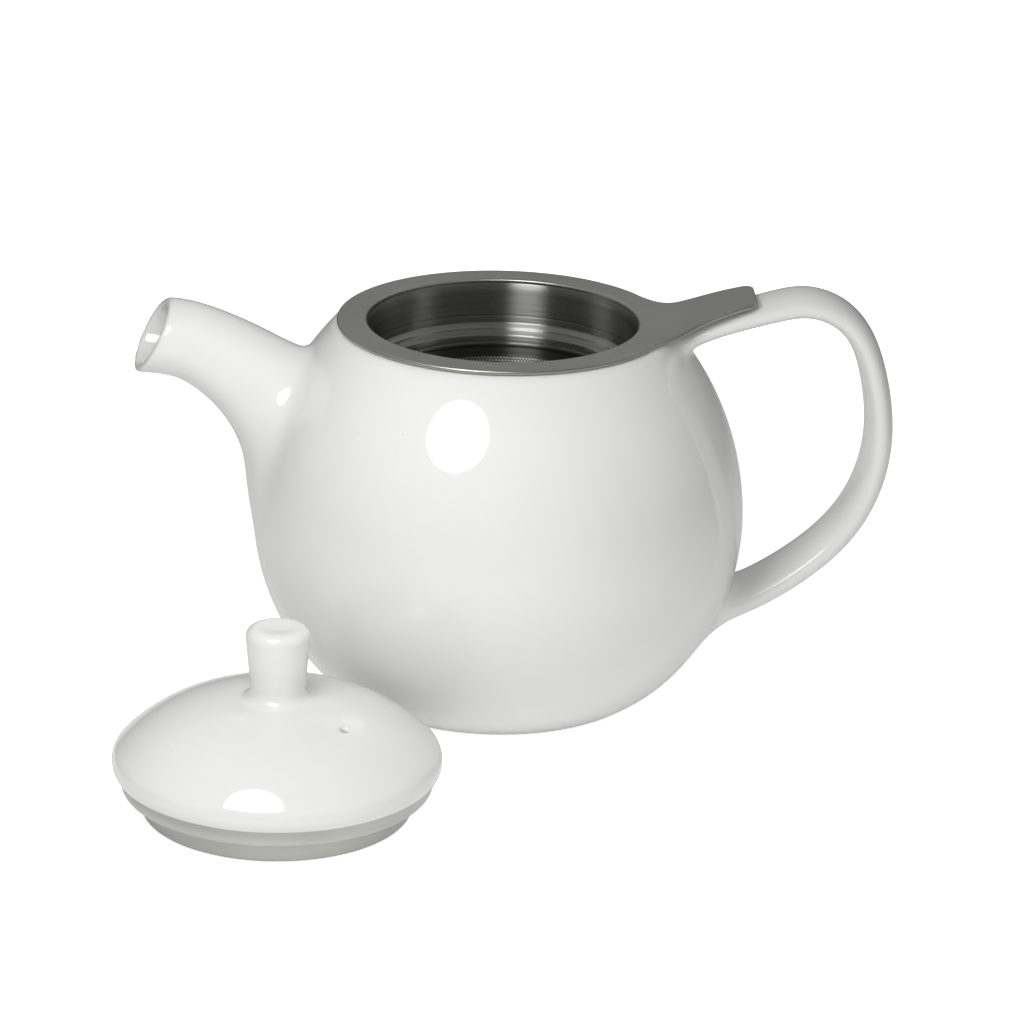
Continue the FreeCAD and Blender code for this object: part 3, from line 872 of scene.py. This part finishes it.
def biscuit():
    """Unglazed fired clay on the foot ring."""
    finish = Finish("bare_foot", IOR=1.45)
    grain = finish.noise(900.0, 4.0)
    cloud = finish.noise(70.0, 3.0)
    tint = finish.blend(finish.spread(cloud, 0.0, 1.0), (0.62, 0.59, 0.52, 1), (0.72, 0.70, 0.64, 1))
    rough = finish.spread(grain, 0.7, 0.95)
    finish.drive(Base_Color=tint, Roughness=rough, Normal=finish.bump(grain, 0.5, 0.0001))
    return finish.material


def seat_band_painted_shade():
    """Thin satin glaze on the lid's seat and collar, its grey colour painted shade for the shadow under the
    brim.
    """
    finish = Finish("seat_glaze_painted_shade", IOR=1.48)
    cloud = finish.noise(40.0, 3.0)
    # The grey tint is painted shade: darker than the glaze, it stands in for the shadow under the lid's
    # brim.
    tint = finish.blend(finish.spread(cloud, 0.0, 1.0), (0.52, 0.52, 0.49, 1), (0.59, 0.59, 0.56, 1))
    rough = finish.spread(finish.noise(150.0, 3.0), 0.28, 0.42)
    finish.drive(Base_Color=tint, Roughness=rough, Normal=finish.bump(cloud, 0.1, 0.0003))
    return finish.material


def brushed_steel():
    """Satin plate with fine brush marks along the tab, and fainter long ones under them."""
    finish = Finish("brushed_steel", Metallic=1.0, Anisotropic=0.3)
    fine = finish.noise(1.0, 3.0, finish.scaled((160.0, 5200.0, 5200.0)))
    long = finish.noise(1.0, 2.0, finish.scaled((24.0, 1500.0, 1500.0)))
    cloud = finish.noise(55.0, 3.0)
    tint = finish.blend(finish.spread(cloud, 0.0, 1.0), (0.41, 0.41, 0.375, 1), (0.46, 0.46, 0.425, 1))
    rough = finish.math("ADD", finish.spread(fine, 0.30, 0.40), finish.spread(cloud, -0.02, 0.03))
    normal = finish.bump(long, 0.05, 0.00006, Normal=finish.bump(fine, 0.06, 0.00004))
    finish.drive(Base_Color=tint, Roughness=rough, Normal=normal)
    return finish.material


def spun_steel(name="spun_steel", shade=1.0):
    """The finish of drawn steel polished round its axis: a narrow shine across, a long one up and down."""
    finish = Finish(name, Metallic=1.0, Anisotropic=1.0, Anisotropic_Rotation=0.25)
    lines = finish.noise(1.0, 3.0, finish.scaled((8.0, 8.0, 4200.0)), 0.6)
    bands = finish.noise(1.0, 2.0, finish.scaled((3.0, 3.0, 700.0)))
    cloud = finish.noise(60.0, 3.0)
    # Where shade is below 1 the steel's colour is darkened as painted shade.
    dull, bright = 0.30 * shade, 0.40 * shade
    dull, bright = (dull, dull, dull * 0.97, 1), (bright, bright, bright * 0.98, 1)
    tint = finish.blend(finish.spread(bands, 0.0, 1.0), dull, bright)
    rough = finish.math("ADD", finish.spread(lines, 0.25, 0.34), finish.spread(cloud, 0.0, 0.04))
    normal = finish.bump(lines, 0.025, 0.00003)
    turn = finish.add("ShaderNodeTangent")
    turn.direction_type = "RADIAL"
    turn.axis = "Z"
    finish.drive(Base_Color=tint, Roughness=rough, Normal=normal, Tangent=turn.outputs[0])
    return finish


# The screen's holes, in metres as material coordinates are: how many go round, the height of a row, a
# hole's radius and its painted glint ring's, and the heights between which the screen is drilled.
HOLES_ROUND = 236
HOLE_ROW = 0.00074
HOLE_R = 0.00020
HOLE_GLINT_R = 0.00029
HOLES_FROM, HOLES_TO = 0.0230, 0.0776
HOLE_PITCH = 2 * math.pi * 0.0315 / HOLES_ROUND


def perforated_steel():
    """Spun steel, darkened as painted shade, with staggered rows of fine round holes, each ringed by a
    painted glint.
    """
    # The screen's steel is darkened to 0.45 of the collar's as painted shade, for the shadow deep in the
    # basket.
    finish = spun_steel("perforated_steel", 0.45)
    calc = finish.math
    x, y, z = finish.add("ShaderNodeSeparateXYZ", finish.place).outputs
    row = calc("DIVIDE", z, HOLE_ROW)
    stagger = calc("MULTIPLY", calc("FLOORED_MODULO", calc("FLOOR", row), 2.0), 0.5)
    column = calc("MULTIPLY", calc("ARCTAN2", y, x), HOLES_ROUND / (2 * math.pi))
    across = calc("FRACT", calc("ADD", column, stagger))
    u = calc("MULTIPLY", calc("SUBTRACT", across, 0.5), HOLE_PITCH)
    v = calc("MULTIPLY", calc("SUBTRACT", calc("FRACT", row), 0.5), HOLE_ROW)
    reach = calc("SQRT", calc("ADD", calc("POWER", u, 2.0), calc("POWER", v, 2.0)))
    drilled = calc("MULTIPLY", calc("GREATER_THAN", z, HOLES_FROM), calc("LESS_THAN", z, HOLES_TO))
    hole = calc("MULTIPLY", calc("LESS_THAN", reach, HOLE_R), drilled)
    # Each hole is ringed with bright, rough steel: a painted glint that stands in for light catching the
    # hole's edge.
    rim = calc("MULTIPLY", calc("LESS_THAN", reach, HOLE_GLINT_R), drilled)
    steel = finish.shader.inputs["Base Color"].links[0].from_socket
    rough = finish.shader.inputs["Roughness"].links[0].from_socket
    finish.drive(Base_Color=finish.blend(rim, steel, (0.95, 0.95, 0.93, 1)))
    finish.drive(Roughness=calc("MAXIMUM", rough, calc("MULTIPLY", rim, 0.75)))
    clear = finish.add("ShaderNodeBsdfTransparent").outputs[0]
    finish.show(finish.add("ShaderNodeMixShader", hole, finish.shader.outputs[0], clear).outputs[0])
    return finish.material


def paint(obj, *materials):
    """Give the object these materials."""
    for material in materials:
        obj.data.materials.append(material)


def second_material(obj, test):
    """Use the object's second material on the faces whose centre passes the test, in millimetres."""
    for face in obj.data.polygons:
        if test(face.center / MM):
            face.material_index = 1


# ---------------------------------------------------------------- studio

# The floor's half size and the distances over which it falls off, in metres. Its shade near the pot and far
# from it, the light added where the camera sees it, and the light it gives from below.
FLOOR_SIZE = 6.0
FLOOR_FALL = (0.15, 0.50)
FLOOR_SHADES = (0.88, 0.30)
FLOOR_LIFT = 0.58
FLOOR_GLOW = 0.15

# The room's light at stops from straight down to straight up, and its strength from the front and back.
ROOM_STOPS = ((0.0, 0.20), (0.30, 0.30), (0.62, 0.52), (0.85, 0.34), (1.0, 0.26))
ROOM_STRENGTH = (0.6, 1.0)
ROOM_SPAN = (-0.9, 0.1)

# The camera's place in metres, its lens in millimetres, and the directions of its right and up sides.
CAMERA_AT = (-0.0531, -1.08012, 0.44313)
CAMERA_LENS = 158.2
CAMERA_RIGHT = (0.99877, -0.04379, 0.02326)
CAMERA_UP = (-0.00672, 0.34536, 0.93845)

POT_MIDDLE = (0, 0, 60)
WALL_OF_LIGHT = (900, 600)


def make_floor():
    """A pale sheet under the pot, lit a little from below, that falls off to grey well away from it."""
    mesh = bpy.data.meshes.new("floor")
    corners = [(-FLOOR_SIZE, -FLOOR_SIZE, 0), (FLOOR_SIZE, -FLOOR_SIZE, 0),
               (FLOOR_SIZE, FLOOR_SIZE, 0), (-FLOOR_SIZE, FLOOR_SIZE, 0)]
    mesh.from_pydata(corners, [], [(0, 1, 2, 3)])
    floor = bpy.data.objects.new("floor", mesh)
    bpy.context.scene.collection.objects.link(floor)
    finish = Finish("pale_floor", Roughness=0.9, Specular_IOR_Level=0.1)
    calc = finish.math
    seen = finish.seen()
    away = finish.add("ShaderNodeVectorMath", finish.place, operation="LENGTH").outputs["Value"]
    fall = finish.spread(away, *FLOOR_SHADES, *FLOOR_FALL)
    finish.drive(Base_Color=calc("MAXIMUM", fall, calc("MULTIPLY", seen, FLOOR_SHADES[0])))
    grey = calc("SUBTRACT", FLOOR_SHADES[0], fall)
    lift = calc("MULTIPLY", seen, calc("ADD", FLOOR_LIFT, grey))
    under = calc("MULTIPLY", fall, FLOOR_GLOW)
    glow = finish.add("ShaderNodeEmission", Strength=calc("ADD", lift, under)).outputs[0]
    finish.show(finish.add("ShaderNodeAddShader", finish.shader.outputs[0], glow).outputs[0])
    paint(floor, finish.material)


def make_room():
    """World light by height, dimmer from the front, and plain white where the camera sees it."""
    world = bpy.data.worlds.new("room")
    bpy.context.scene.world = world
    world.use_nodes = True
    nodes = Nodes(world.node_tree)
    back = world.node_tree.nodes["Background"]
    way = nodes.add("ShaderNodeSeparateXYZ", nodes.add("ShaderNodeTexCoord").outputs["Generated"]).outputs
    ramp = nodes.add("ShaderNodeValToRGB", way["Z"])
    stops = ramp.color_ramp.elements
    while len(stops) < len(ROOM_STOPS):
        stops.new(0.5)
    for stop, (height, light) in zip(stops, ROOM_STOPS):
        stop.position = height
        stop.color = (light, light, light, 1)
    nodes.feed(back.inputs["Color"], ramp.outputs[0])
    nodes.feed(back.inputs["Strength"], nodes.spread(way["Y"], *ROOM_STRENGTH, *ROOM_SPAN))
    white = nodes.add("ShaderNodeBackground", Color=(1, 1, 1, 1))
    mix = nodes.add("ShaderNodeMixShader", nodes.seen(), back.outputs[0], white.outputs[0])
    nodes.feed(world.node_tree.nodes["World Output"].inputs["Surface"], mix.outputs[0])


def lamp(name, place, aim, size, power):
    """An area lamp facing its aim, in millimetres: a disk, or a rectangle where the size is a pair."""
    light = bpy.data.lights.new(name, "AREA")
    if isinstance(size, tuple):
        light.shape = "RECTANGLE"
        light.size, light.size_y = size[0] * MM, size[1] * MM
    else:
        light.shape = "DISK"
        light.size = size * MM
    light.energy = power
    obj = bpy.data.objects.new(name, light)
    obj.location = Vector(place) * MM
    obj.rotation_euler = (Vector(aim) - Vector(place)).to_track_quat("-Z", "Y").to_euler()
    bpy.context.scene.collection.objects.link(obj)
    return obj


def make_lamps():
    """A round lamp that shows in the glaze, and two walls of soft light that don't."""
    lamp("round_lamp", (-112, -222, 263), (-15, -20, 60), 155, 0.48)
    front = lamp("front_fill", (250, -900, 330), POT_MIDDLE, WALL_OF_LIGHT, 2.6)
    back = lamp("back_fill", (-150, 900, 500), POT_MIDDLE, WALL_OF_LIGHT, 1.5)
    front.visible_glossy = False
    back.visible_glossy = False


def make_camera():
    """A long lens 1.2 m from the pot, looking 20 degrees down."""
    data = bpy.data.cameras.new("camera")
    data.sensor_width = 36.0
    data.lens = CAMERA_LENS
    data.clip_start, data.clip_end = 0.05, 20.0
    camera = bpy.data.objects.new("camera", data)
    right, up = Vector(CAMERA_RIGHT), Vector(CAMERA_UP)
    turn = Matrix((right, up, right.cross(up))).transposed().to_4x4()
    camera.matrix_world = Matrix.Translation(CAMERA_AT) @ turn
    bpy.context.scene.collection.objects.link(camera)
    bpy.context.scene.camera = camera


# ---------------------------------------------------------------- the object in its studio

# Unglazed ring under the pot: below this height, between these radii. The lid's band is below its height.
BARE_Z = 0.35
BARE_RING = (33.0, 38.6)
BAND_Z = 10.6


def on_foot_ring(place):
    """Whether a face centre lies on the pot's unglazed foot ring."""
    return place.z < BARE_Z and BARE_RING[0] < math.hypot(place.x, place.y) < BARE_RING[1]


def on_seat_band(place):
    """Whether a face centre lies on the lid's seat or collar."""
    return place.z < BAND_Z


make_camera()
make_floor()
make_room()
make_lamps()

glazed = glaze()
pot = make_pot()
paint(pot, glazed, biscuit())
second_material(pot, on_foot_ring)
lid = make_lid()
paint(lid, glazed, seat_band_painted_shade())
second_material(lid, on_seat_band)
flange = make_flange()
paint(flange, brushed_steel())
spun = spun_steel().material
collar, screen, base = make_collar(), make_screen(), make_base()
paint(collar, spun)
paint(screen, perforated_steel())
paint(base, spun)

# Each piece with the body it rides on, its finish slot and the CAD nodes that it stands for.
STAND_FOR = (
    (pot, "pot", "white_glaze", ("pot_body", "spout", "handle")),
    (lid, "lid", "white_glaze", ("lid_cap", "lid_knob")),
    (flange, "infuser", "brushed_stainless", ("infuser_flange",)),
    (collar, "infuser", "bright_stainless", ("infuser_collar",)),
    (screen, "infuser", "bright_stainless", ("infuser_screen",)),
    (base, "infuser", "bright_stainless", ("infuser_base",)),
)
for piece, body, slot, nodes in STAND_FOR:
    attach(piece, body)
    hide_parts(*nodes)

bpy.context.scene.view_settings.view_transform = "Standard"
